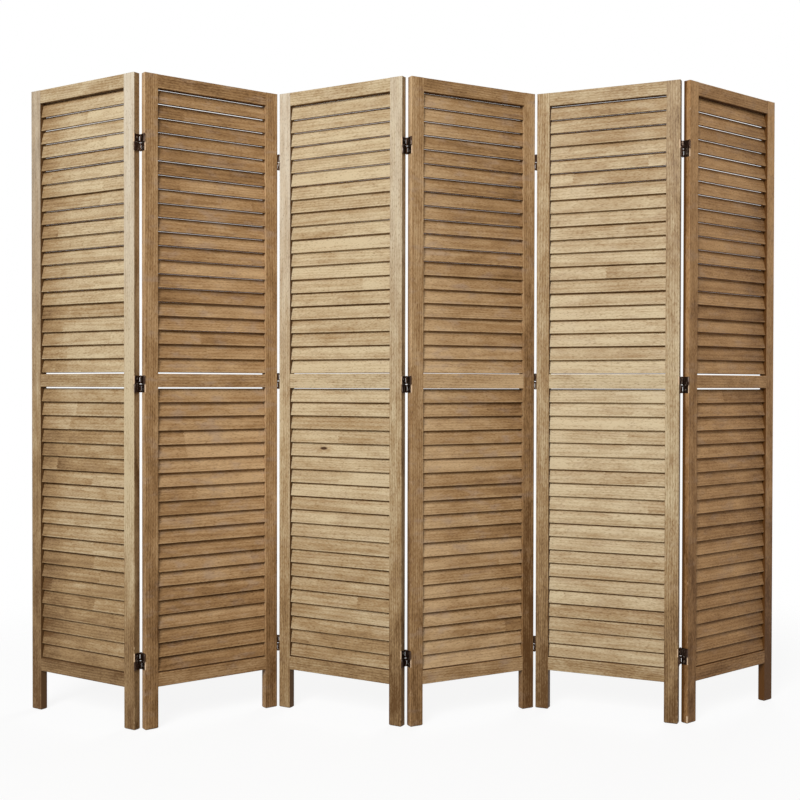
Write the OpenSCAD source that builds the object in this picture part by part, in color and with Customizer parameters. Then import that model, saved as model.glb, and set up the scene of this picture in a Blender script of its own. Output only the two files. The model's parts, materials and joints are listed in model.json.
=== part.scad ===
// Folding room divider of six framed wooden panels, standing in a zigzag.
// Each panel has two bays of slats that turn one by one on round end pivots.
// Neighbouring panels are joined by three double-acting hinges, which fold
// the ridge lines back to back and the valley lines front to front.
// X runs along the row to the right, Y to the back and Z up. The origin is
// the middle of the row's footprint, on the floor.

/* [Frame] */
// Height of a panel from the floor to its top
panel_h = 1700; // [1400:10:2000]
// Width of a panel
panel_w = 392; // [340:1:460]
// Thickness of the stiles and rails
frame_t = 20; // [17:0.5:24]
// Width of a stile seen from the front
stile_w = 36.5; // [32:0.5:50]
// Height of the top and bottom rails
rail_h = 36; // [30:1:60]
// Height of the middle rails of panels 3, 4 and 5
mid_rail_h = 39.5; // [34:0.5:60]
// How much lower the middle rails of panels 1, 2 and 6 are
mid_rail_less = 4.5; // [0:0.5:6]
// Rise of the middle rails above the height half-way up the frame
mid_rail_rise = 2.5; // [0:0.5:10]
// Length of the legs below the bottom rail
leg_h = 108; // [60:2:160]
// Rounding along the edges of rails and the outer edges of stiles
edge_r = 1.5; // [0.5:0.25:2.5]
// Bevel around the end of each foot
foot_bevel = 2.5; // [0.5:0.5:4]

/* [Rail tenons] */
// Length of the tenon at each end of a rail
rail_tenon_l = 16; // [8:1:20]
// Thickness of a rail tenon
rail_tenon_t = 6; // [4:0.5:9]
// Shoulder of the rail above and below its tenon
rail_shoulder = 6; // [3:0.5:10]
// Glue gap around a tenon in its mortise
glue_gap = 0.1; // [0.05:0.05:0.3]

/* [Slats] */
// Slats in each of a panel's two bays
slats_per_bay = 20; // [16:1:24]
// How much higher a slat is than the spacing of the slats in the lower bay
slat_lap = 1; // [0.5:0.1:4]
// Thickness of a slat
slat_t = 5.5; // [4.5:0.25:7]
// Rounding along the edges of a slat
slat_edge_r = 1.5; // [0.5:0.25:2]
// Gap between the end of a slat and the stile
slat_end_gap = 1; // [0.5:0.25:2]
// Gap between the last slat of a bay and the top or bottom rail
bay_end_gap = 2; // [1:0.25:6]
// Gap between the last slat of a bay and a full middle rail
mid_end_gap = 1; // [0.75:0.25:6]
// Diameter of the round pivot turned on each slat end
pivot_d = 4.8; // [4:0.2:5]
// Length of a slat pivot inside the stile
pivot_l = 9; // [6:0.5:12]
// Radial running clearance of a slat pivot
pivot_fit = 0.08; // [0.05:0.01:0.1]
// Depth of a pivot hole beyond the end of the pivot
pivot_hole_spare = 0.6; // [0.3:0.1:1.5]
// Tilt at which the slats are set: 0 is upright, 90 is open flat
slat_tilt = 14.5; // [13:0.5:20]
// How far a single slat's tilt strays from its panel's
tilt_spread = 2; // [0:0.5:2]

/* [Hinges] */
// Gap between the edges of neighbouring panels
hinge_gap = 5; // [5:0.25:8.5]
// Height of a hinge
hinge_h = 43; // [40:1:60]
// Height of the middle of the lowest hinges
low_hinge_z = 178; // [140:1:240]
// Drop of a ridge line's middle hinge below the middle rail's centre line
ridge_mid_drop = 9; // [0:1:20]
// Drop of a valley line's middle hinge below the middle rail's centre line
valley_mid_drop = 0; // [0:1:20]
// Drop of a ridge line's highest hinge below the top of the panels
ridge_top_drop = 179; // [140:1:240]
// Drop of a valley line's highest hinge below the top of the panels
valley_top_drop = 188; // [140:1:240]
// Distance of a pin's axis in front of or behind the frame
pin_proud = 1; // [0.8:0.1:2]
// Diameter of a hinge pin
pin_d = 2.4; // [2.2:0.1:2.8]
// Radial running clearance of a pin in its knuckles
pin_fit = 0.05; // [0.02:0.01:0.1]
// Diameter of the domed head at the outer end of a pin
pin_head_d = 4.2; // [3.8:0.1:4.6]
// Height of a pin's head
pin_head_h = 0.9; // [0.5:0.1:1.5]
// Clearance between a knuckle and the panel edges beside it
knuckle_clear = 0.4; // [0.35:0.05:0.5]
// Play between neighbouring knuckles along a pin
knuckle_play = 0.25; // [0.15:0.05:0.5]
// Gap between the upper and the lower half of a hinge
half_split = 1.6; // [1:0.1:3]
// Thickness of a leaf
leaf_t = 1.2; // [1.2:0.1:1.5]
// Thickness of a link plate
link_t = 1.2; // [1:0.1:1.6]
// Clearance between a flat plate and the knuckles beside it
plate_clear = 0.75; // [0.5:0.05:1.2]

/* [Hinge screws] */
// Shank diameter of a leaf screw
screw_d = 2.8; // [2.6:0.1:3.2]
// Length of a leaf screw with its head
screw_l = 15; // [10:1:20]
// Diameter of the countersunk head
screw_head_d = 5.2; // [4.6:0.1:5.2]
// Clearance around a screw in its hole
screw_fit = 0.1; // [0.05:0.05:0.2]
// Distance of the outer screws from the ends of a leaf
screw_inset = 8; // [6:0.5:12]

/* [Standing position] */
// Angle of the first panel to the row
first_angle = -32.5; // [-40:0.5:-20]
// Bend at the first line, a ridge
bend_angle_1_2 = 68.5; // [40:0.5:90]
// Bend at the second line, a valley
bend_angle_2_3 = 66; // [40:0.5:90]
// Bend at the third line, a ridge
bend_angle_3_4 = 59; // [40:0.5:90]
// Bend at the fourth line, a valley
bend_angle_4_5 = 53; // [40:0.5:90]
// Bend at the fifth line, a ridge
bend_angle_5_6 = 63.5; // [40:0.5:90]

/* [Hidden] */
$fn = 48;
panels = 6;
// the panel whose upper slats are separate nodes, and its bay
single_panel = 2;
lower_bay = 0;
upper_bay = 1;
bays = [lower_bay, upper_bay];
// the panels with full middle rails
full_rail_panels = [2, 3, 4];
// how far the slats of each panel as a whole are set off the mean tilt
panel_strays = [-1, 1.5, -1, 0, -1, 0];
tilt_step = 0.5;
tilt_seed = 2657;
eps = 0.01;

// Rails, from the floor up, as [height of the lower edge, height of the rail]
mid_z = (leg_h + panel_h) / 2 + mid_rail_rise;
function is_full(panel) = len(search(panel, full_rail_panels)) > 0;
function mid_rail_h_of(panel) = mid_rail_h - (is_full(panel) ? 0 : mid_rail_less);
function rails_of(panel) = [
  [leg_h, rail_h],
  [mid_z - mid_rail_h_of(panel) / 2, mid_rail_h_of(panel)],
  [panel_h - rail_h, rail_h]
];
bay_w = panel_w - 2 * stile_w;

// The space for the slats of each bay, alike in all panels
bay_bottom = [leg_h + rail_h + bay_end_gap, mid_z + mid_rail_h / 2 + mid_end_gap];
bay_top = [mid_z - mid_rail_h / 2 - mid_end_gap, panel_h - rail_h - bay_end_gap];
bay_space = bay_top - bay_bottom;

// All slats are cut alike. The spacing in the lower bay follows from the lap,
// and a slat's reach is half its height as seen from the front at the least
// tilt, along its straight part, across its thickness and round its edge.
least_tilt = slat_tilt + min(panel_strays) - tilt_spread;
slat_edge_reach = (slat_t / 2 - slat_edge_r) * sin(least_tilt) + slat_edge_r;
lower_pitch =
  (bay_space[lower_bay] - (slat_lap - 2 * slat_edge_r) * cos(least_tilt) - 2 * slat_edge_reach)
    / (slats_per_bay - 1 + cos(least_tilt));
slat_h = lower_pitch + slat_lap;
slat_reach = (slat_h / 2 - slat_edge_r) * cos(least_tilt) + slat_edge_reach;
slat_l = bay_w - 2 * slat_end_gap;
function pitch_of(bay) = (bay_space[bay] - 2 * slat_reach) / (slats_per_bay - 1);
function slat_z(bay, n) = bay_top[bay] - slat_reach - n * pitch_of(bay);
function strays(panel, bay) =
  rands(-tilt_spread, tilt_spread, slats_per_bay, tilt_seed + 2 * panel + bay);
function tilt_of(panel, bay, n) =
  slat_tilt + panel_strays[panel] + tilt_step * round(strays(panel, bay)[n] / tilt_step);

// Hinge measures, about a hinge's own centre in the middle of the gap
function line_at(panel, side) = side == "left" ? panel - 1 : panel;
function is_ridge(line) = line % 2 == 0;
function hinge_z(line) = [
  low_hinge_z,
  mid_z - (is_ridge(line) ? ridge_mid_drop : valley_mid_drop),
  panel_h - (is_ridge(line) ? ridge_top_drop : valley_top_drop)
];
pin_y = frame_t / 2 + pin_proud;
knuckle_r = hinge_gap / 2 - knuckle_clear;
plate_w = 2 * (pin_y - knuckle_r - plate_clear);
half_h = (hinge_h - half_split) / 2;
link_knuckle_h = half_h / 2;
leaf_knuckle_h = (half_h - link_knuckle_h) / 2 - knuckle_play;
screw_rise = hinge_h / 2 - screw_inset;

// Ridge lines fold about their back pins and valley lines about their front
// pins. Lines and panels are counted from 0.
bend_angles = [
  bend_angle_1_2, bend_angle_2_3, bend_angle_3_4, bend_angle_4_5, bend_angle_5_6
];
function bend_sign(line) = is_ridge(line) ? 1 : -1;
function turn(panel) =
  panel == 0 ? first_angle :
  turn(panel - 1) + bend_sign(panel - 1) * bend_angles[panel - 1];
function turned(p, a) = [p.x * cos(a) - p.y * sin(a), p.x * sin(a) + p.y * cos(a)];
function left_axis(line) = [panel_w + hinge_gap / 2, bend_sign(line) * pin_y];
function right_axis(line) = [-hinge_gap / 2, bend_sign(line) * pin_y];
function chain(panel) =
  panel == 0 ? [0, 0] :
  chain(panel - 1) + turned(left_axis(panel - 1), turn(panel - 1))
    - turned(right_axis(panel - 1), turn(panel));

// The row's footprint is bounded by the rounded panel corners and the hinge
// knuckles: circles of [place, radius] that give the row's middle exactly.
edge_y = frame_t / 2 - edge_r;
corner_rounds = [
  for (x = [edge_r, panel_w - edge_r], y = [-edge_y, edge_y]) [[x, y], edge_r]
];
knuckle_rounds = [
  for (x = [-hinge_gap / 2, panel_w + hinge_gap / 2], y = [-pin_y, pin_y])
    [[x, y], knuckle_r]
];
function has_hinges(panel, side) = side == "left" ? panel > 0 : panel < panels - 1;
function rounds_of(panel) = concat(
  corner_rounds,
  [for (k = knuckle_rounds) if (has_hinges(panel, k[0].x < 0 ? "left" : "right")) k]
);
footprint = [
  for (panel = [0:panels - 1], k = rounds_of(panel))
    [chain(panel) + turned(k[0], turn(panel)), k[1]]
];
function middle(axis) =
  (min([for (k = footprint) k[0][axis] - k[1]])
    + max([for (k = footprint) k[0][axis] + k[1]])) / 2;
row_middle = [middle(0), middle(1)];

function panel_name(panel) = str("panel_", panel + 1);
function slat_name(n) = str(panel_name(single_panel), "_slat_", n < 9 ? "0" : "", n + 1);
PIECES = ["stiles", "rails", "slats", "hinge_leaves", "hinge_links", "hinge_screws"];

module on_panel(panel) {
  place = chain(panel) - row_middle;
  translate([place.x, place.y, 0])
    rotate(turn(panel))
      children();
}

// A rectangle with rounded corners, centred on Y
module eased_bar(w, t, r) {
  translate([r, -t / 2])
    square([w - 2 * r, t]);
  translate([0, r - t / 2])
    square([w, t - 2 * r]);
  for (x = [r, w - r], y = [r - t / 2, t / 2 - r])
    translate([x, y])
      circle(r);
}

// Four bevels around the end of a foot
module foot_bevels() {
  side = foot_bevel * sqrt(2);
  for (y = [-frame_t / 2, frame_t / 2])
    translate([stile_w / 2, y, 0])
      rotate([45, 0, 0])
        cube([stile_w + side, side, side], center = true);
  for (x = [0, stile_w])
    translate([x, 0, 0])
      rotate([0, 45, 0])
        cube([side, frame_t + side, side], center = true);
}

// The tenon of a rail of height h, or with a gap around it its mortise
module rail_tenon(h, gap) {
  tenon_h = h - 2 * rail_shoulder + 2 * gap;
  t = rail_tenon_t + 2 * gap;
  translate([-rail_tenon_l - gap, -t / 2, rail_shoulder - gap])
    cube([rail_tenon_l + gap + eps, t, tenon_h]);
}

// A left stile with its inner edge, square to meet the rails flush, to the
// right. The mortises and the pivot holes are in it. The other side's stile
// is its mirror image.
module stile(panel, side) {
  hole_l = slat_end_gap + pivot_l + pivot_hole_spare;
  difference() {
    linear_extrude(panel_h) {
      eased_bar(stile_w, frame_t, edge_r);
      translate([stile_w / 2, -frame_t / 2])
        square([stile_w / 2, frame_t]);
    }
    foot_bevels();
    for (r = rails_of(panel))
      translate([stile_w, 0, r[0]])
        rail_tenon(r[1], glue_gap);
    for (bay = bays, n = [0:slats_per_bay - 1])
      translate([stile_w - hole_l + slat_end_gap, 0, slat_z(bay, n)])
        rotate([0, 90, 0])
          cylinder(h = hole_l, d = pivot_d + 2 * pivot_fit);
    if (has_hinges(panel, side))
      for (z = hinge_z(line_at(panel, side)), rise = [-screw_rise, 0, screw_rise])
        translate([-eps, 0, z + rise])
          rotate([0, 90, 0])
            cylinder(h = screw_l - leaf_t + 2 * eps, d = screw_d + 2 * screw_fit);
  }
}

module stiles(panel) {
  color("burlywood") {
    stile(panel, "left");
    translate([panel_w, 0, 0])
      mirror([1, 0, 0])
        stile(panel, "right");
  }
}

// A rail of height h lies between the stiles, flush with both faces
module rail(h) {
  translate([stile_w, 0, 0])
    rotate([90, 0, 90])
      linear_extrude(bay_w)
        translate([-frame_t / 2, h / 2])
          eased_bar(frame_t, h, edge_r);
  for (end = [0, 1])
    translate([end * panel_w, 0, 0])
      mirror([end, 0, 0])
        translate([stile_w, 0, 0])
          rail_tenon(h, 0);
}

module rails(panel) {
  color("burlywood")
    for (r = rails_of(panel))
      translate([0, 0, r[0]])
        rail(r[1]);
}

// A slat with a round pivot on each end, its bottom edge tilted forward
module slat(panel, bay, n) {
  translate([stile_w + slat_end_gap, 0, slat_z(bay, n)])
    rotate([-tilt_of(panel, bay, n), 0, 0])
      rotate([90, 0, 90]) {
        linear_extrude(slat_l)
          translate([-slat_t / 2, 0])
            eased_bar(slat_t, slat_h, slat_edge_r);
        translate([0, 0, -slat_end_gap - pivot_l])
          cylinder(h = slat_l + 2 * (slat_end_gap + pivot_l), d = pivot_d);
      }
}

// The slats that share a node; the single panel's upper slats do not
module slats(panel) {
  color("tan")
    for (bay = bays, n = [0:slats_per_bay - 1])
      if (panel != single_panel || bay != upper_bay)
        slat(panel, bay, n);
}

// The panel's hinge centres: children are drawn as for its right edge, and
// are turned about for its left edge
module at_hinges(panel, side) {
  if (has_hinges(panel, side))
    for (z = hinge_z(line_at(panel, side)))
      translate([side == "left" ? -hinge_gap / 2 : panel_w + hinge_gap / 2, 0, z])
        rotate(side == "left" ? 180 : 0)
          children();
}

// The knuckles of a leaf lie on either side of the link's one, in each half
leaf_knuckle_z = [half_split / 2, half_split / 2 + half_h - leaf_knuckle_h];
link_knuckle_z = half_split / 2 + (half_h - link_knuckle_h) / 2;
bore_d = pin_d + 2 * pin_fit;

// The arm from a leaf's plate that wraps onto the pin: it leaves the panel's
// edge where a tangent of the knuckle does
module leaf_arm() {
  wrap = 170;
  root_x = -hinge_gap / 2;
  root_y = pin_y + (knuckle_r + root_x * -cos(wrap)) / sin(wrap);
  difference() {
    union() {
      translate([0, pin_y])
        circle(knuckle_r);
      polygon([
        [root_x, plate_w / 2 - eps],
        [root_x, root_y],
        [knuckle_r * cos(wrap), pin_y + knuckle_r * sin(wrap)],
        [0, pin_y],
        [root_x + leaf_t, plate_w / 2 - eps]
      ]);
    }
    translate([0, pin_y])
      circle(d = bore_d);
  }
}

// Leaf for a panel's right edge: upper knuckles at the back, lower in front
module hinge_leaf() {
  difference() {
    union() {
      translate([-hinge_gap / 2, -plate_w / 2, -hinge_h / 2])
        cube([leaf_t, plate_w, hinge_h]);
      for (half = [0, 1])
        mirror([0, half, 0])
          mirror([0, 0, half])
            for (z = leaf_knuckle_z)
              translate([0, 0, z])
                linear_extrude(leaf_knuckle_h)
                  leaf_arm();
    }
    for (rise = [-screw_rise, 0, screw_rise])
      translate([0, 0, rise])
        screw(screw_fit);
  }
}

// Countersunk screw, driven from the gap into a panel's right edge
module screw(gap) {
  head_h = (screw_head_d - screw_d) / 2;
  seat = -hinge_gap / 2 + leaf_t;
  rotate([0, -90, 0])
    rotate_extrude()
      polygon([
        [0, -seat - gap],
        [screw_head_d / 2 + gap, -seat - gap],
        [screw_head_d / 2 + gap, -seat],
        [screw_d / 2 + gap, -seat + head_h],
        [screw_d / 2 + gap, -seat + screw_l - screw_d / 2],
        [0, -seat + screw_l]
      ]);
}

// Link between a front and a back pin, shown in the hinge's upper half
module hinge_link() {
  difference() {
    union() {
      translate([-link_t / 2, -plate_w / 2, half_split / 2])
        cube([link_t, plate_w, half_h]);
      translate([-link_t / 2, -pin_y, link_knuckle_z])
        cube([link_t, 2 * pin_y, link_knuckle_h]);
      for (y = [-pin_y, pin_y])
        translate([0, y, link_knuckle_z])
          cylinder(h = link_knuckle_h, r = knuckle_r);
    }
    for (y = [-pin_y, pin_y])
      translate([0, y, 0])
        cylinder(h = hinge_h, d = bore_d);
  }
}

// A pin through one half of a hinge, with its domed head on the outer end
module hinge_pin() {
  translate([0, 0, half_split / 2])
    rotate_extrude()
      difference() {
        union() {
          square([pin_d / 2, half_h + eps]);
          translate([0, half_h])
            intersection() {
              translate([0, pin_head_h - dome_r()])
                circle(dome_r());
              square([pin_head_d / 2, pin_head_h]);
            }
        }
        translate([-2 * dome_r(), -2 * dome_r()])
          square([2 * dome_r(), 6 * dome_r() + half_h]);
      }
}
function dome_r() = (pow(pin_head_d / 2, 2) + pow(pin_head_h, 2)) / (2 * pin_head_h);

module hinge_leaves(panel) {
  color("dimgray")
    for (side = ["left", "right"])
      at_hinges(panel, side)
        hinge_leaf();
}

module hinge_screws(panel) {
  color("gray")
    for (side = ["left", "right"])
      at_hinges(panel, side)
        for (rise = [-screw_rise, 0, screw_rise])
          translate([0, 0, rise])
            screw(0);
}

// The panel carries one link at each hinge, the one that stays with it while
// the line folds, and the pins in its own leaf's knuckles
module hinge_links(panel) {
  color("dimgray")
    for (side = ["left", "right"]) {
      is_lower = is_ridge(line_at(panel, side)) == (side == "right");
      at_hinges(panel, side) {
        mirror([0, 0, is_lower ? 1 : 0])
          hinge_link();
      }
      at_hinges(panel, side)
        for (half = [0, 1])
          mirror([0, half, 0])
            mirror([0, 0, half])
              translate([0, pin_y, 0])
                hinge_pin();
    }
}

for (panel = [0:panels - 1]) {
  on_panel(panel) stiles(panel);
  on_panel(panel) rails(panel);
  on_panel(panel) slats(panel);
  on_panel(panel) hinge_leaves(panel);
  on_panel(panel) hinge_links(panel);
  on_panel(panel) hinge_screws(panel);
}
for (n = [0:slats_per_bay - 1])
  on_panel(single_panel) color("tan") slat(single_panel, upper_bay, n);
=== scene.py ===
import json
import math
import random

import bpy
import numpy as np
from mathutils import Matrix, Vector

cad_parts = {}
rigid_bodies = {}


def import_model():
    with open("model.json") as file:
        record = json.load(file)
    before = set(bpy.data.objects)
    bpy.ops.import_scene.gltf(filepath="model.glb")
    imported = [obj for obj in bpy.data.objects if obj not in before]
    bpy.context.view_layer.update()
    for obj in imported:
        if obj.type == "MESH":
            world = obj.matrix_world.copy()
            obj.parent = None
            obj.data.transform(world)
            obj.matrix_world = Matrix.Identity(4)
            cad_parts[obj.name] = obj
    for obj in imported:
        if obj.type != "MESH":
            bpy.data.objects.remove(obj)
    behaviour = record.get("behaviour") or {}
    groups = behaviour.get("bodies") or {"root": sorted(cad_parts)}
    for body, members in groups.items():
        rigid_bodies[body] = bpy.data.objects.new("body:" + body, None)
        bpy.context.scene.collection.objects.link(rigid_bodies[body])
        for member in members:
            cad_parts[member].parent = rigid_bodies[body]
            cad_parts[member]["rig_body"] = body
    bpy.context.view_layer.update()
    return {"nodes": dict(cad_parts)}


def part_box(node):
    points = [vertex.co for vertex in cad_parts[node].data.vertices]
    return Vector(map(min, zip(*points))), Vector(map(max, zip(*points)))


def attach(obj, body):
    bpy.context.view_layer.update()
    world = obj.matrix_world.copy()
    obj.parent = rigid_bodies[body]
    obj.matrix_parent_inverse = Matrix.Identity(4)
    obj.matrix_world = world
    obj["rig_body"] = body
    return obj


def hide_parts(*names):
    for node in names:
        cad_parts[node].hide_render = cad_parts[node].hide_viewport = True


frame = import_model()
nodes = frame["nodes"]

# ---------------------------------------------------------------------------
# Stiles: two upright battens of stained light softwood at the sides of each of
# the six panels, planed, with eased arrises and bevelled feet. They are the
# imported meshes; the turn of each panel gives the grain its own direction.
# ---------------------------------------------------------------------------
# Turn of each panel from the row in degrees; all sizes are in metres
panel_turns = [-32.5, 36.0, -30.0, 29.0, -24.0, 39.5]
panels = range(len(panel_turns))
half_panel = 0.196
half_frame = 0.010
stile_width = 0.0365


class Shade:
    """A value in a material's node tree. Arithmetic on it adds Math nodes."""

    def __init__(self, tree, socket=None):
        self.tree = tree
        self.socket = socket

    def node(self, kind, settings=(), inputs=(), out=0):
        """Adds a node: its settings, then a number, colour or Shade for each input."""
        made = self.tree.nodes.new(kind)
        for name, value in dict(settings).items():
            setattr(made, name, value)
        for name, value in dict(inputs).items():
            if isinstance(value, Shade):
                self.tree.links.new(value.socket, made.inputs[name])
            else:
                made.inputs[name].default_value = value
        return Shade(self.tree, made.outputs[out] if made.outputs else None)

    def math(self, operation, *values):
        """A Math node's value for this and the values."""
        inputs = dict(enumerate((self, *values)))
        return self.node("ShaderNodeMath", {"operation": operation}, inputs)

    def __add__(self, other):
        return self.math("ADD", other)

    def __mul__(self, other):
        return self.math("MULTIPLY", other)

    def __sub__(self, other):
        return self.math("SUBTRACT", other)

    def __truediv__(self, other):
        return self.math("DIVIDE", other)

    def __gt__(self, other):
        return self.math("GREATER_THAN", other)

    def __lt__(self, other):
        return self.math("LESS_THAN", other)

    def __abs__(self):
        return self.math("ABSOLUTE")

    __radd__ = __add__
    __rmul__ = __mul__

    def __rsub__(self, other):
        return self.node("ShaderNodeMath", {"operation": "SUBTRACT"}, {0: other, 1: self})

    def __rtruediv__(self, other):
        return self.node("ShaderNodeMath", {"operation": "DIVIDE"}, {0: other, 1: self})

    def fade(self, low, high):
        """0 at low and 1 at high, with a soft start and end."""
        return self.node(
            "ShaderNodeMapRange",
            {"interpolation_type": "SMOOTHSTEP"},
            {"Value": self, "From Min": low, "From Max": high},
        )

    def blend(self, low, high):
        """The colour low where this is 0 and high where it is 1."""
        settings = {"data_type": "RGBA", "clamp_factor": True}
        return self.node("ShaderNodeMix", settings, {0: self, 6: low, 7: high}, 2)

    def parts(self):
        """The three numbers of a place."""
        return [self.node("ShaderNodeSeparateXYZ", (), {0: self}, i) for i in range(3)]

    def joined(self, y, z):
        """The place whose numbers are this, y and z."""
        return self.node("ShaderNodeCombineXYZ", (), {0: self, 1: y, 2: z})

    def stretched(self, scale):
        """This place with its numbers multiplied by scale's."""
        return self.node("ShaderNodeVectorMath", {"operation": "MULTIPLY"}, {0: self, 1: scale})

    def noise(self, scale, detail=2.0, rough=0.5):
        """Noise from 0 to 1 at this place, scale being its cells per metre each way."""
        place = self.stretched(scale)
        inputs = {"Vector": place, "Scale": 1.0, "Detail": detail, "Roughness": rough}
        return self.node("ShaderNodeTexNoise", (), inputs)


def new_material(name):
    """A material with an empty tree, and the Shade that its nodes are added from."""
    made = bpy.data.materials.new(name)
    made.use_nodes = True
    made.node_tree.nodes.clear()
    return made, Shade(made.node_tree)


def surface(shade, **inputs):
    """The tree's surface: a principled shader with these inputs."""
    named = {name.replace("_", " "): value for name, value in inputs.items()}
    shader = shade.node("ShaderNodeBsdfPrincipled", (), named)
    shade.node("ShaderNodeOutputMaterial", (), {"Surface": shader})


def colour(red, green, blue):
    return (red, green, blue, 1.0)


def wood(along, across, depth, seed, tone, figure):
    """(weight of the dark colour, knots, flecks) of a board at this place in it, in metres.
    The seed from 0 to 1 is the board's own, and figure is the strength of its grain."""
    knot_cells = (7.0, 19.0, 6.0)
    knot_share = 0.025
    ring_width = 0.0068
    place = (along + seed * 41.0).joined(across + seed * 17.0, depth + seed * 5.0)
    sway = place.noise((2.2, 11.0, 11.0), 1.0) - 0.5
    lift = place.noise((9.0, 60.0, 60.0), 2.0) - 0.5

    # Knots: the few cells whose own number is high have one
    cell = {"Vector": place.stretched(knot_cells), "Scale": 1.0}
    distance = place.node("ShaderNodeTexVoronoi", (), cell, "Distance")
    number = place.node("ShaderNodeTexVoronoi", (), cell, "Color").parts()
    has_knot = number[0] > 1.0 - knot_share
    ragged = (distance + lift * 0.10) / (0.05 + number[1] * 0.07)
    knot = has_knot * (1.0 - ragged.fade(0.5, 1.1))
    swirl = has_knot * (1.0 - ragged.fade(0.8, 3.5))

    # Growth rings about a pith beside the board, swaying along its length
    pith_across = (seed * 7.13).math("FRACT") * 0.05 - 0.025
    pith_depth = (seed * 3.71).math("FRACT") * 0.03 + 0.008
    from_pith = across + pith_across + sway * 0.020
    below = depth + pith_depth
    radius = (from_pith * from_pith + below * below).math("SQRT")
    radius = radius + along * 0.008 + lift * 0.0030 + swirl * 0.010
    ring = (radius / ring_width).math("FRACT")
    late = ring.fade(0.30, 0.88) * (1.0 - ring.fade(0.90, 1.0))

    # Open pores are short dark flecks, streaks and clouds come from the stain
    flecks = place.noise((130.0, 420.0, 420.0), 1.0)
    fibres = place.noise((34.0, 240.0, 240.0), 2.0, 0.6)
    streaks = place.noise((3.2, 45.0, 45.0), 2.5, 0.55)
    clouds = place.noise((12.0, 34.0, 34.0), 3.0, 0.6)
    # What each of them adds to the dark or the pale side
    grain = (
        (late - 0.3) * 0.26
        + (streaks - 0.5) * 0.75
        + (clouds - 0.5) * 1.25
        + (fibres - 0.5) * 0.36
        + (flecks - 0.5) * 0.90
        + swirl * 0.15
    )
    return tone + grain * figure, knot, flecks


# The pale, middle and dark stain as the panels that face the lamp show it, a warmer,
# darker copy that paints shade on the panels that face away, how far each panel
# takes that copy, and how much of each panel has a dull haze
lit_stain = [(0.620, 0.497, 0.310), (0.360, 0.230, 0.109), (0.130, 0.064, 0.022)]
shaded_stain = [(0.620, 0.350, 0.150), (0.360, 0.187, 0.072), (0.110, 0.043, 0.009)]
shade_warmth = [0.0, 0.60, 0.0, 0.52, 0.0, 0.90]
haze_share = [0.10, 0.45, 0.12, 0.45, 0.15, 0.25]
knot_wood = colour(0.060, 0.028, 0.012)
# A painted sheen of the lamp on the lacquer, with paler wood under it in part
sheen_wood = colour(0.700, 0.615, 0.480)
bare_wood = colour(0.740, 0.520, 0.330)
haze_wood = colour(0.420, 0.300, 0.215)


def stain(panel):
    """The pale, middle and dark colours of a panel's wood, warmer and darker as
    painted shade on the panels that face away from the lamp.
    """
    shaded_share = shade_warmth[panel]
    pairs = zip(lit_stain, shaded_stain)
    return [colour(*(c + (w - c) * shaded_share for c, w in zip(*pair))) for pair in pairs]


def wood_surface(shade, panel, weight, knot, flecks, painted_sheen=None, worn=None, dry=0.0):
    """Stained wood under a thin satin lacquer, pale where that has worn off and where a
    painted sheen lies on it, and without lacquer where dry is 1."""
    pale, middle, dark = stain(panel)
    base = (weight * 2.0).blend(pale, middle)
    haze = shade.node("ShaderNodeTexCoord", out="Object").noise((16.0, 16.0, 40.0), 2.0, 0.6)
    base = (haze.fade(0.50, 0.75) * haze_share[panel]).blend(base, haze_wood)
    base = (weight * 2.0 - 1.0).blend(base, dark)
    base = knot.blend(base, knot_wood)
    # a painted sheen where the lamp on the left would gleam on the lacquer
    if painted_sheen is not None:
        base = painted_sheen.blend(base, sheen_wood)
    if worn is not None:
        base = worn.blend(base, bare_wood)
    pores = flecks.fade(0.60, 0.72) * 0.30
    base = pores.blend(base, dark)
    relief = {"Height": flecks, "Strength": 0.25, "Distance": 0.0004}
    surface(
        shade,
        Base_Color=base,
        Roughness=flecks * 0.20 + 0.40 + dry * 0.5,
        Specular_IOR_Level=0.15,
        Normal=shade.node("ShaderNodeBump", (), relief),
    )


def panel_place(shade, panel):
    """Place on a panel: right of its middle, behind its middle plane, up from the floor."""
    low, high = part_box(f"panel_{panel + 1}_stiles")
    middle = (low + high) / 2
    turn = (0.0, 0.0, math.radians(panel_turns[panel]))
    place = shade.node("ShaderNodeTexCoord", out="Object")
    inputs = {"Vector": place, "Location": (middle.x, middle.y, 0.0), "Rotation": turn}
    return shade.node("ShaderNodeMapping", {"vector_type": "TEXTURE"}, inputs).parts()


def dress(node, material):
    """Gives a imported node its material."""
    node.data.materials.clear()
    node.data.materials.append(material)


# Heights between which a panel's tone changes, below and above its middle rail
low_change, high_change = (0.02, 0.75), (0.85, 1.6)


def graded(z, top, middle, bottom):
    """A value that passes smoothly from bottom to top up a panel."""
    risen = z.fade(*low_change) * (middle - bottom)
    return risen + z.fade(*high_change) * (top - middle) + bottom


# Stain of each panel's left and right stile at the top, middle and foot, 0
# being the palest and 1 the darkest
stile_tones = [
    ((0.70, 0.50, 0.88), (0.38, 0.00, 0.72)),
    ((0.48, 0.45, 0.68), (0.48, 0.42, 0.72)),
    ((0.42, 0.24, 0.58), (0.25, 0.33, 0.80)),
    ((0.36, 0.46, 0.66), (0.38, 0.70, 1.02)),
    ((0.36, 0.40, 0.86), (0.56, 0.20, 0.80)),
    ((0.30, 0.50, 0.80), (0.16, 0.40, 1.05)),
]
# How much painted sheen, partly paler wood, lies on their fronts at the top, where
# the lamp on the left would gleam on the lacquer
stile_sheen = [(0.48, 0.80), (0.0, 0.0), (0.80, 0.45), (0.0, 0.0), (0.0, 0.10), (0.0, 0.0)]
front_skin = 0.0015
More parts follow.
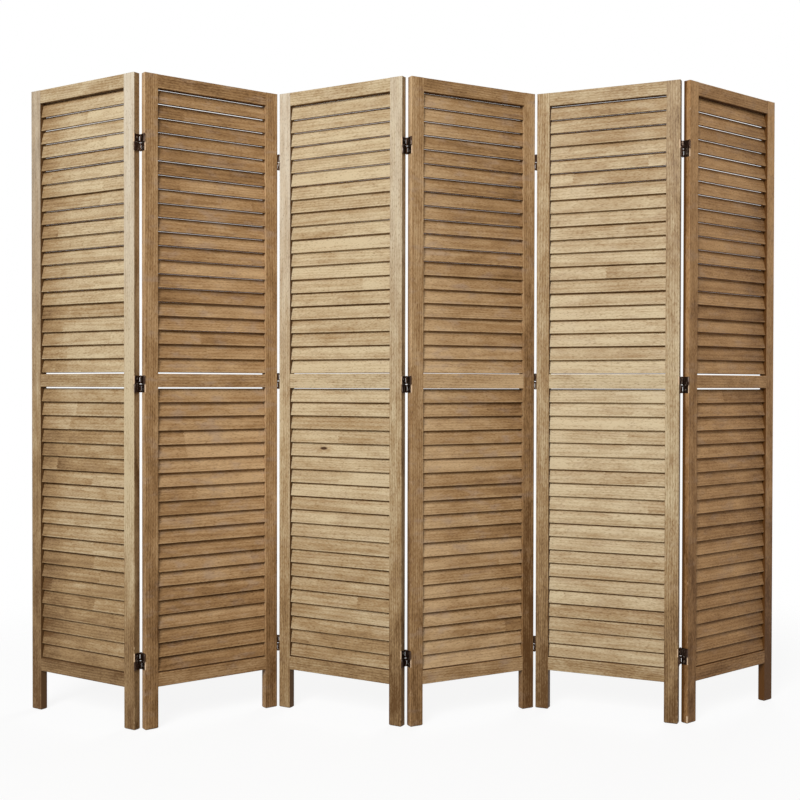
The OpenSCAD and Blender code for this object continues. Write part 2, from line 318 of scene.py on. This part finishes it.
# Their outer edges were stained apart: stain at the top and foot. The left one also
# gains a painted shadow towards the back, where the panel beside it shades it
edge_tones = [
    ((0.45, 0.70), (0.55, 0.70)),
    ((0.08, 0.50), (0.55, 0.70)),
    ((0.50, 0.70), (0.40, 0.65)),
    ((0.12, 0.55), (0.55, 0.70)),
    ((0.45, 0.70), (0.45, 0.65)),
    ((0.40, 0.65), (0.50, 0.70)),
]
back_shadow = [0.0, 0.10, 0.0, 0.35, 0.0, 0.80]
back_start, back_full = -0.002, 0.006
# What the sides beside the slats gain: painted shade, most where the lamp leaves
# them in shade, painted light, below 0, where it falls on them on the panels that
# face away, and a darker tone on the last panel's right side
corner_light_and_shade = [
    (0.90, 0.20),
    (0.10, -0.25),
    (0.90, 0.20),
    (0.10, -0.25),
    (0.90, 0.20),
    (0.10, 0.95),
]
# The stile beside a ridge line's hinge was cut back in front, over half the hinge
hinge_half = 0.0215
ridge_hinges = [0.178, 0.8975, 1.521]
cut_sides = [1.0 if panel % 2 == 0 else -1.0 for panel in panels]
cut_heights = [[z + side * hinge_half / 2 for z in ridge_hinges] for side in cut_sides]
cut_depth = 0.0045
cut_width = 0.0024
# How far from a side face its own stain starts, and where it is full
side_start, side_full = 0.0009, 0.0003
# The same for the wear along an arris
wear_start, wear_full = 0.0022, 0.0006
# A chip off the left foot of the last panel
chip_size = 0.0035
chip_bottom, chip_top = 0.003, 0.020
for panel in panels:
    material, shade = new_material(f"stile_wood_{panel + 1}")
    x, y, z = panel_place(shade, panel)
    right = x > 0.0
    # each stile is of another board
    seed = right * 0.37 + (0.113 + 0.091 * panel)
    left_tone, right_tone = (graded(z, *tones) for tones in stile_tones[panel])
    tone = right * (right_tone - left_tone) + left_tone
    slat_side = half_panel - stile_width
    in_corner = abs(x).fade(slat_side + side_start, slat_side + side_full)
    left_corner, right_corner = corner_light_and_shade[panel]
    # painted light and shade on the sides beside the slats
    tone = in_corner * (right * (right_corner - left_corner) + left_corner) + tone
    on_edge = abs(x).fade(half_panel - side_start, half_panel - side_full)
    left_edge, right_edge = (
        z.fade(0.1, 1.6) * (top - foot) + foot for top, foot in edge_tones[panel]
    )
    edge_tone = right * (right_edge - left_edge) + left_edge
    # painted shadow towards the back of the left edge, cast by the panel beside it
    edge_tone = (x < 0.0) * y.fade(back_start, back_full) * back_shadow[panel] + edge_tone
    tone = on_edge * (edge_tone - tone) + tone
    # the stain is worn through here and there along the outer arrises, and is
    # missing where the edge was cut back for a hinge
    outside = abs(x).fade(half_panel - wear_start, half_panel - wear_full)
    near_face = abs(y).fade(half_frame - wear_start, half_frame - wear_full)
    rubs = z.joined(x * 8.0, y * 8.0).noise((60.0, 30.0, 30.0), 3.0, 0.6)
    worn = outside * near_face * rubs.fade(0.60, 0.70)
    at_hinge = [abs(z - middle) < hinge_half / 2 for middle in cut_heights[panel]]
    cut = (y < cut_depth - half_frame) * (x * cut_sides[panel] > half_panel - cut_width)
    worn = worn + (at_hinge[0] + at_hinge[1] + at_hinge[2]) * cut
    if panel == panels[-1]:
        chip = (x < chip_size - half_panel) * (y < chip_size - half_frame) * (z < chip_top)
        worn = worn + chip * (z > chip_bottom)
    weight, knot, flecks = wood(z, x, y, seed, tone, 0.72)
    # the painted sheen comes in patches, more towards the top and on paler wood
    left_sheen, right_sheen = stile_sheen[panel]
    painted_sheen = right * (right_sheen - left_sheen) + left_sheen
    patches = z.joined(x * 5.0, y * 5.0).noise((7.0, 14.0, 14.0), 3.0, 0.6).fade(0.25, 0.65)
    painted_sheen = painted_sheen * z.fade(0.7, 1.65) * (0.62 + patches * 0.5) * (1.25 - weight * 0.5)
    painted_sheen = painted_sheen * (y < front_skin - half_frame)
    wood_surface(shade, panel, weight, knot, flecks, painted_sheen, worn)
    dress(nodes[f"panel_{panel + 1}_stiles"], material)

# ---------------------------------------------------------------------------
# Rails: three cross battens of the same wood in each panel, tenoned and glued
# into the stiles, flush with them on both faces.
# ---------------------------------------------------------------------------
# Stain of each panel's bottom, middle and top rail, and heights between them
rail_tones = [
    (0.77, 0.47, 0.30),
    (0.52, 0.42, 0.60),
    (0.56, 0.05, 0.20),
    (0.38, 0.17, 0.53),
    (0.41, 0.07, 0.33),
    (0.58, 0.36, 0.46),
]
lower_bay_height, upper_bay_height = 0.5, 1.3
# What the faces that look up and down gain as painted shade, how far behind the front
# and back they start to gain it, and where they have it all
inner_shade = 0.55
inner_start, inner_full = 0.0008, 0.0018
for panel in panels:
    material, shade = new_material(f"rail_wood_{panel + 1}")
    x, y, z = panel_place(shade, panel)
    above_bottom, above_middle = z > lower_bay_height, z > upper_bay_height
    # each rail is of another board
    seed = above_bottom * 0.29 + above_middle * 0.31 + (0.531 + 0.077 * panel)
    bottom, middle, top = rail_tones[panel]
    tone = above_bottom * (middle - bottom) + above_middle * (top - middle) + bottom
    # the faces that look up and down are darkened with painted shade and have no lacquer
    inner = abs(y).fade(half_frame - inner_start, half_frame - inner_full)
    tone = inner * inner_shade + tone
    weight, knot, flecks = wood(x, z, y, seed, tone, 0.7)
    wood_surface(shade, panel, weight, knot, flecks, dry=inner)
    dress(nodes[f"panel_{panel + 1}_rails"], material)

# ---------------------------------------------------------------------------
# Slats: forty thin planed slats in each panel, rounded along their edges. Each
# turns on a round pivot left on its ends, stiff enough to stay as it is set.
# They are cut from many boards, so each has its own tone and is a little wound.
# ---------------------------------------------------------------------------
slat_height = 0.03795
slat_thickness = 0.0055
slat_edge = 0.0015
slat_length = 0.317
slat_steps = 8
pivot_radius = 0.0024
pivot_length = 0.010
pivot_sides = 12
# How far a slat may be wound, in degrees, and bowed
most_wind = 0.75
most_bow = 0.00015
# How far its stain strays from its neighbours'
tone_spread = 0.065
most_tone = 0.16
# Share of the slats that are joined from two boards, how far off the middle the
# joint may be, and the spacing and length of its fingers
joined_share = 0.40
joint_reach = 0.13
finger_size = 0.009
# Faces that meet at less than this angle in degrees are shaded as one
smooth_angle = 40.0


def mesh_object(name, vertices, faces):
    """An object of these vertices and faces."""
    mesh = bpy.data.meshes.new(name)
    mesh.from_pydata(vertices, [], faces)
    mesh.validate()
    mesh.update()
    mesh.shade_smooth()
    mesh.set_sharp_from_angle(angle=math.radians(smooth_angle))
    made = bpy.data.objects.new(name, mesh)
    bpy.context.scene.collection.objects.link(made)
    return made


def rounded_profile(width, height, radius, steps):
    """Points round a rectangle with rounded corners, about its middle."""
    points = []
    for corner in range(4):
        side_x = 1 if corner in (0, 3) else -1
        side_y = 1 if corner < 2 else -1
        for step in range(steps + 1):
            angle = math.pi / 2 * (corner + step / steps)
            points.append(
                (
                    side_x * (width / 2 - radius) + radius * math.cos(angle),
                    side_y * (height / 2 - radius) + radius * math.sin(angle),
                )
            )
    return points


def loft(rings, start):
    """Faces that join rings of as many points each, and close both ends."""
    count = len(rings[0])
    faces = []
    for ring in range(len(rings) - 1):
        low = start + ring * count
        for i in range(count):
            j = (i + 1) % count
            faces.append((low + i, low + j, low + count + j, low + count + i))
    last = start + (len(rings) - 1) * count
    faces.append(tuple(start + i for i in reversed(range(count))))
    faces.append(tuple(last + i for i in range(count)))
    return faces


# The corners of a packed slat: panel 3 has nodes that hold a single one
slat_corners = len(nodes["panel_3_slat_01"].data.vertices)


def slat_settings(node, turn):
    """(middle, tilt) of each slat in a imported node, from how its corners spread."""
    vertices = np.array([v.co for v in node.data.vertices])
    height = vertices[:, 2]
    across = -math.sin(turn) * vertices[:, 0] + math.cos(turn) * vertices[:, 1]
    along = math.cos(turn) * vertices[:, 0] + math.sin(turn) * vertices[:, 1]
    settings = []
    for block in np.split(np.arange(len(vertices)), len(vertices) // slat_corners):
        middle_along = (along[block].min() + along[block].max()) / 2
        middle_height = (height[block].min() + height[block].max()) / 2
        middle_across = (across[block].min() + across[block].max()) / 2
        spread = np.stack([across[block] - middle_across, height[block] - middle_height])
        values, axes = np.linalg.eigh(spread @ spread.T)
        long_axis = axes[:, 1] * (1 if axes[1, 1] > 0 else -1)
        tilt = math.atan2(long_axis[0], long_axis[1])
        middle = Vector(
            (
                math.cos(turn) * middle_along - math.sin(turn) * middle_across,
                math.sin(turn) * middle_along + math.cos(turn) * middle_across,
                middle_height,
            )
        )
        settings.append((middle, tilt))
    return settings


slat_ring = rounded_profile(slat_thickness, slat_height, slat_edge, 3)
slat_stations = [(i / slat_steps - 0.5) * slat_length for i in range(slat_steps + 1)]
pivot_angles = [i * math.tau / pivot_sides for i in range(pivot_sides)]
pivot_ring = [(pivot_radius * math.cos(a), pivot_radius * math.sin(a)) for a in pivot_angles]
chance = random.Random(20)


def slat_object(name, settings, turn):
    """Slats at these middles and tilts. Each corner keeps its place in its board, and
    the board's tone, seed and joint, for the grain."""
    vertices, faces, places, kinds = [], [], [], []
    for middle, tilt in settings:
        wind = math.radians(chance.uniform(-most_wind, most_wind))
        bow = chance.uniform(-most_bow, most_bow)
        tone = max(-most_tone, min(most_tone, chance.gauss(0.0, tone_spread)))
        seed = chance.uniform(0.0, 1.0)
        joint = slat_length
        if chance.random() < joined_share:
            joint = chance.uniform(-joint_reach, joint_reach)
        rings = []
        for station in slat_stations:
            share = station / slat_length * 2
            angle = tilt + wind * share
            ring = []
            for depth, across in slat_ring:
                off = depth + bow * (1 - share * share)
                ring.append(
                    (
                        station,
                        off * math.cos(angle) + across * math.sin(angle),
                        across * math.cos(angle) - off * math.sin(angle),
                    )
                )
                places.append((station, across, depth))
            rings.append(ring)
        bodies = [rings]
        for side in (-1, 1):
            ends = sorted((side * slat_length / 2, side * (slat_length / 2 + pivot_length)))
            pivot = [[(end, y, z) for y, z in pivot_ring] for end in ends]
            places.extend((end, z, y) for end in ends for y, z in pivot_ring)
            bodies.append(pivot)
        turned = Matrix.Translation(middle) @ Matrix.Rotation(turn, 4, "Z")
        for rings in bodies:
            faces.extend(loft(rings, len(vertices)))
            vertices.extend(tuple(turned @ Vector(p)) for ring in rings for p in ring)
        kinds.extend([(tone, seed, joint)] * (len(vertices) - len(kinds)))
    made = mesh_object(name, vertices, faces)
    for label, values in (("board_place", places), ("board_kind", kinds)):
        layer = made.data.attributes.new(label, "FLOAT_VECTOR", "POINT")
        layer.data.foreach_set("vector", np.array(values, np.float32).ravel())
    return made


# Stain of the slats of each panel at the top, middle and bottom
slat_tones = [
    (0.20, 0.34, 0.58),
    (0.50, 0.28, 0.54),
    (0.12, 0.17, 0.42),
    (0.50, 0.41, 0.34),
    (0.35, 0.14, 0.32),
    (0.31, 0.36, 0.38),
]
# What it gains as painted shade under the slat above, and towards their left and right ends
lap_shade = [0.38, 0.10, 0.38, 0.10, 0.38, 0.10]
slat_leans = [(0.30, 0.0), (0.12, 0.0), (0.0, 0.0), (-0.20, 0.12), (-0.08, 0.0), (0.0, 0.25)]
# How far off the slat's middle it starts to gain the last, and has it all
lean_start, lean_full = 0.020, 0.158
# How far from the slat's edge the lap's painted shade, the band of painted highlight
# and the lower edge's painted shade start and are full
lap_start, lap_full = 0.0060, 0.0020
rub_start, rub_full = 0.0040, 0.0020
edge_start, edge_full = 0.0008, 0.0003
for panel in panels:
    material, shade = new_material(f"slat_wood_{panel + 1}")
    place = shade.node("ShaderNodeAttribute", {"attribute_name": "board_place"}, out="Vector")
    kind = shade.node("ShaderNodeAttribute", {"attribute_name": "board_kind"}, out="Vector")
    along, across, depth = place.parts()
    own_tone, seed, joint = kind.parts()
    uneven = (seed * 7.7).math("FRACT") * 2.4 - 0.4
    # past its joint a slat is of another board
    fingers = abs((across / finger_size).math("FRACT") - 0.5) * finger_size
    second = along + fingers > joint
    own_tone = second * (((seed * 17.3).math("FRACT") - 0.5) * 0.28) + own_tone
    seed = second * 0.43 + seed
    height = shade.node("ShaderNodeTexCoord", out="Object").parts()[2]
    left_lean, right_lean = slat_leans[panel]
    tone = own_tone + graded(height, *slat_tones[panel])
    tone = tone + along.fade(-lean_start, -lean_full) * left_lean
    tone = tone + along.fade(lean_start, lean_full) * right_lean
    # painted shade darkens the lower edge and, on some, the strip under the slat above,
    # and a painted highlight makes the front just over the lower edge a little paler
    above_edge = across + slat_height / 2
    below_edge = across - slat_height / 2
    low_edge = above_edge.fade(edge_start, edge_full)
    wear_and_highlight = above_edge.fade(rub_start, rub_full) * (depth < 0.0)
    covered = below_edge.fade(-lap_start, -lap_full) * uneven
    weight, knot, flecks = wood(along, across, depth, seed, tone, 0.56)
    weight = weight + low_edge * 0.60 + covered * lap_shade[panel] - wear_and_highlight * 0.13
    wood_surface(shade, panel, weight, knot, flecks)
    turn = math.radians(panel_turns[panel])
    single = [n for n in nodes if n.startswith(f"panel_{panel + 1}_slat_")]
    for label in [f"panel_{panel + 1}_slats", *sorted(single)]:
        slats = slat_object(f"{label}_wood", slat_settings(nodes[label], turn), turn)
        slats.data.materials.append(material)
        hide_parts(label)
        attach(slats, nodes[label]["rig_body"])

# ---------------------------------------------------------------------------
# Hinge leaves: folded from sheet steel, blackened to a dark bronze, sunk on the
# panels' edges. Pale spots on the finish are partly rubbed metal, partly painted glints.
# ---------------------------------------------------------------------------
dark_bronze = colour(0.035, 0.020, 0.014)
light_bronze = colour(0.080, 0.044, 0.029)
rub_and_glint_bronze = colour(0.40, 0.31, 0.25)
bronze, shade = new_material("hinge_bronze")
place = shade.node("ShaderNodeTexCoord", out="Object")
mottle = place.noise((90.0, 90.0, 90.0), 3.0, 0.6)
rub = place.noise((260.0, 260.0, 40.0), 2.0, 0.6)
# pale spots: rubbed metal in part, painted glints in part
wear_and_highlight = rub.fade(0.54, 0.68) * 0.6
surface(
    shade,
    Base_Color=wear_and_highlight.blend(mottle.blend(dark_bronze, light_bronze), rub_and_glint_bronze),
    Metallic=1.0,
    Roughness=0.30 + mottle * 0.22,
)
for panel in panels:
    dress(nodes[f"panel_{panel + 1}_hinge_leaves"], bronze)

# ---------------------------------------------------------------------------
# Links and pins: each hinge has two links between its front and back pins, so
# that the panels fold either way. Same blackened steel as the leaves.
# ---------------------------------------------------------------------------
for panel in panels:
    dress(nodes[f"panel_{panel + 1}_hinge_links"], bronze)

# ---------------------------------------------------------------------------
# Screws: countersunk wood screws of steel with a cross recess, three through each
# leaf into the stile's edge. Each has stopped at a turn of its own.
# ---------------------------------------------------------------------------
dark_steel = colour(0.30, 0.26, 0.21)
light_steel = colour(0.42, 0.38, 0.32)
steel, shade = new_material("screw_steel")
place = shade.node("ShaderNodeTexCoord", out="Object")
mottle = place.noise((400.0, 400.0, 400.0), 2.0)
surface(
    shade,
    Base_Color=mottle.blend(dark_steel, light_steel),
    Metallic=1.0,
    Roughness=0.28 + mottle * 0.2,
)
head_radius = 0.0026
head_bevel = 0.0002
shank_radius = 0.0014
screw_length = 0.015
recess_depth = 0.0010
recess_length = 0.0015
recess_width = 0.0004


def cross_outline():
    """Corners of the cross recess, two at the end of each arm and one between arms."""
    points = []
    for arm in range(4):
        turned = Matrix.Rotation(arm * math.pi / 2, 2)
        for corner in (
            (recess_length, -recess_width),
            (recess_length, recess_width),
            (recess_width, recess_width),
        ):
            points.append(tuple(turned @ Vector(corner)))
    return points


def screw_mesh():
    """Vertices as (depth, across, up) from the head's top, and faces, of one screw."""
    cross = cross_outline()
    corners = len(cross)
    # the round sections have three corners for each corner of the cross
    steps = 3
    angles = [math.atan2(y, x) % math.tau for x, y in cross]
    round_angles = []
    for i, angle in enumerate(angles):
        span = (angles[(i + 1) % corners] - angle) % math.tau
        round_angles.extend(angle + span * step / steps for step in range(steps))
    head_height = head_radius - shank_radius
    tip_radius = shank_radius * 0.15
    profile = [
        (0.0, head_radius - head_bevel),
        (head_bevel, head_radius),
        (head_bevel + head_height, shank_radius),
        (screw_length - shank_radius, shank_radius),
        (screw_length, tip_radius),
    ]
    vertices = [(depth, *point) for depth in (recess_depth, 0.0) for point in cross]
    faces = [tuple(reversed(range(corners)))]
    for i in range(corners):
        j = (i + 1) % corners
        faces.append((i, j, corners + j, corners + i))
    first = len(vertices)
    sides = len(round_angles)
    for depth, radius in profile:
        vertices.extend((depth, radius * math.cos(a), radius * math.sin(a)) for a in round_angles)
    for i in range(corners):
        rim = tuple(first + (i * steps + step) % sides for step in reversed(range(steps + 1)))
        faces.append((corners + i, corners + (i + 1) % corners, *rim))
    for ring in range(len(profile) - 1):
        low = first + ring * sides
        for i in range(sides):
            j = (i + 1) % sides
            faces.append((low + i, low + j, low + sides + j, low + sides + i))
    last = first + (len(profile) - 1) * sides
    faces.append(tuple(last + i for i in range(sides)))
    return vertices, faces


# The corners of a packed screw: panel 1 has one hinge line, with three screws
# through each of its three leaves
screws_on_panel_1 = 9
screw_corners = len(nodes["panel_1_hinge_screws"].data.vertices) // screws_on_panel_1


def screw_places(node, turn):
    """(top of head, inward direction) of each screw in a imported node."""
    low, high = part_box(node.name)
    along_axis = Vector((math.cos(turn), math.sin(turn), 0.0))
    middle = along_axis.dot((low + high) / 2)
    points = [v.co for v in node.data.vertices]
    places = []
    for first in range(0, len(points), screw_corners):
        block = points[first : first + screw_corners]
        ends = [along_axis.dot(p) for p in block]
        outward = 1.0 if sum(ends) / len(ends) > middle else -1.0
        head = max(ends, key=lambda end: end * outward)
        centre = sum(block, Vector()) / len(block)
        centre += along_axis * (head - along_axis.dot(centre))
        places.append((centre, along_axis * -outward))
    return places


screw_vertices, screw_faces = screw_mesh()
for panel in panels:
    label = f"panel_{panel + 1}_hinge_screws"
    vertices, faces = [], []
    for top, inward in screw_places(nodes[label], math.radians(panel_turns[panel])):
        sideways = Vector((0.0, 0.0, 1.0)).cross(inward)
        spin = Matrix.Rotation(chance.uniform(0.0, math.tau), 3, inward)
        start = len(vertices)
        for depth, across, up in screw_vertices:
            off = spin @ (sideways * across + Vector((0.0, 0.0, up)))
            vertices.append(tuple(top + inward * depth + off))
        faces.extend(tuple(start + i for i in face) for face in screw_faces)
    screws = mesh_object(f"{label}_steel", vertices, faces)
    screws.data.materials.append(steel)
    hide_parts(label)
    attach(screws, nodes[label]["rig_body"])

# ---------------------------------------------------------------------------
# The studio: a pale floor that fades into a white backdrop, a large soft lamp
# high in front on the left, so that the panels that face right are darker, and a
# weaker one behind.
# ---------------------------------------------------------------------------
# Distances from the middle of the screen: where the floor starts to fade and is
# gone, and its rings of corners
fade_start, fade_end = 1.3, 2.4
floor_rings = [0.5, 1.0, 1.5, 2.0, 2.5]
floor_sides = 64
floor_angles = [i * math.tau / floor_sides for i in range(floor_sides)]
floor_points = [
    (radius * math.cos(angle), radius * math.sin(angle), 0.0)
    for radius in floor_rings
    for angle in floor_angles
]
floor_faces = loft([floor_angles] * len(floor_rings), 0)[:-1]
floor = mesh_object("studio_floor", floor_points, floor_faces)
material, shade = new_material("studio_floor")


def seen_directly(shade):
    """1 on rays from the camera, also by way of a gloss or through glass, 0 on others."""
    ways = [
        shade.node("ShaderNodeLightPath", out=f"Is {kind} Ray")
        for kind in ("Camera", "Glossy", "Transmission")
    ]
    return ways[0].math("MAXIMUM", ways[1]).math("MAXIMUM", ways[2])


# The camera sees a bright floor, and the screen gets the dull light of a grey one
seen = seen_directly(shade)
matt = shade.node("ShaderNodeBsdfDiffuse", (), {"Color": colour(0.95, 0.95, 0.95)})
dull = shade.node("ShaderNodeBsdfDiffuse", (), {"Color": colour(0.20, 0.20, 0.20)})
glow = shade.node("ShaderNodeEmission", (), {"Color": colour(1, 1, 1), "Strength": 1.0})
clear = shade.node("ShaderNodeBsdfTransparent")
bright = shade.node("ShaderNodeMixShader", (), {0: 0.86, 1: matt, 2: glow})
lit = shade.node("ShaderNodeMixShader", (), {0: seen, 1: dull, 2: bright})
x, y = shade.node("ShaderNodeTexCoord", out="Object").parts()[:2]
away = (x * x + y * y).math("SQRT").fade(fade_start, fade_end)
shown = shade.node("ShaderNodeMixShader", (), {0: away, 1: lit, 2: clear})
shade.node("ShaderNodeOutputMaterial", (), {"Surface": shown})
floor.data.materials.append(material)

# The camera sees a white backdrop, and the screen gets a quarter of its light
world = bpy.data.worlds.new("studio")
bpy.context.scene.world = world
world.use_nodes = True
world.node_tree.nodes.clear()
shade = Shade(world.node_tree)
seen = seen_directly(shade)
air = shade.node("ShaderNodeBackground", (), {"Color": colour(1, 1, 1), "Strength": 0.25})
white = shade.node("ShaderNodeBackground", (), {"Color": colour(1, 1, 1), "Strength": 1.0})
sky = shade.node("ShaderNodeMixShader", (), {0: seen, 1: air, 2: white})
shade.node("ShaderNodeOutputWorld", (), {"Surface": sky})

lamp_size = 4.0
lamp_aim = Vector((0.0, 0.0, 1.0))


def lamp(name, place, power, sheen=True):
    """A square lamp at place, facing the screen, that may give no sheen."""
    data = bpy.data.lights.new(name, "AREA")
    data.shape = "SQUARE"
    data.size = lamp_size
    data.energy = power
    made = bpy.data.objects.new(name, data)
    made.location = place
    made.visible_glossy = sheen
    made.rotation_mode = "QUATERNION"
    made.rotation_quaternion = (Vector(place) - lamp_aim).to_track_quat("Z", "Y")
    bpy.context.scene.collection.objects.link(made)


lamp("key_lamp", place=(-2.41, -7.41, 5.5), power=750.0)
lamp("back_lamp", place=(2.8, 6.8, 5.0), power=260.0, sheen=False)

# The camera stands about level with the middle of the screen, 3.2 m in front of it
camera_place = (-0.0218, -3.1793, 0.8931)
camera_pan = 0.040
camera_drop = 0.684
camera_roll = 0.104
camera = bpy.data.cameras.new("camera")
camera.sensor_width = 36.0
camera.lens = 52.61
viewer = bpy.data.objects.new("camera", camera)
viewer.matrix_world = (
    Matrix.Translation(camera_place)
    @ Matrix.Rotation(math.radians(camera_pan), 4, "Z")
    @ Matrix.Rotation(math.radians(90.0 - camera_drop), 4, "X")
    @ Matrix.Rotation(math.radians(camera_roll), 4, "Z")
)
bpy.context.scene.collection.objects.link(viewer)
bpy.context.scene.camera = viewer
bpy.context.scene.view_settings.view_transform = "Standard"
